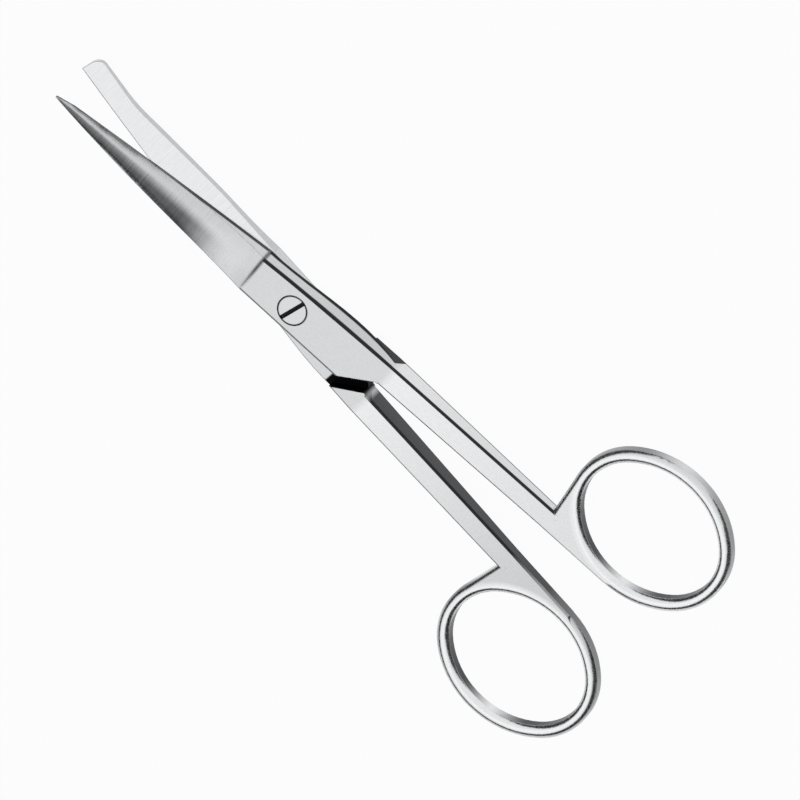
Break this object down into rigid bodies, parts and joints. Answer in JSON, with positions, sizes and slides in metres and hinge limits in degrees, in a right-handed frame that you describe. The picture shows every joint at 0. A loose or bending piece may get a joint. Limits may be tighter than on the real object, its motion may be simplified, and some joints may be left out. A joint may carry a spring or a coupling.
{
  "type": "dissecting scissors",
  "caption": "Straight surgical dissecting scissors with one sharp and one blunt blade, a slotted pivot screw and two oval finger rings.",
  "frame": {"origin": "on the pivot axis, at the flat underside that the scissors lie on", "axes": "+X along the blades towards the tips, +Y towards the sharp blade's side, +Z along the pivot axis towards the slotted screw head"},
  "size_m": [0.1447, 0.0658, 0.005],
  "materials": {
    "forged_steel": "satin ground stainless steel",
    "screw_steel": "turned stainless steel, flush with the plate"
  },
  "bodies": {
    "blunt_side": {"blunt_half": "forged_steel", "pivot_screw": "screw_steel"},
    "sharp_side": {"sharp_half": "forged_steel"}
  },
  "joints": [
    {"name": "pivot", "type": "hinge", "parent": "blunt_side", "child": "sharp_side", "pos_m": [0, 0, 0.0025], "axis": [0, 0, 1], "range_deg": [-7.4, 130]}
  ]
}
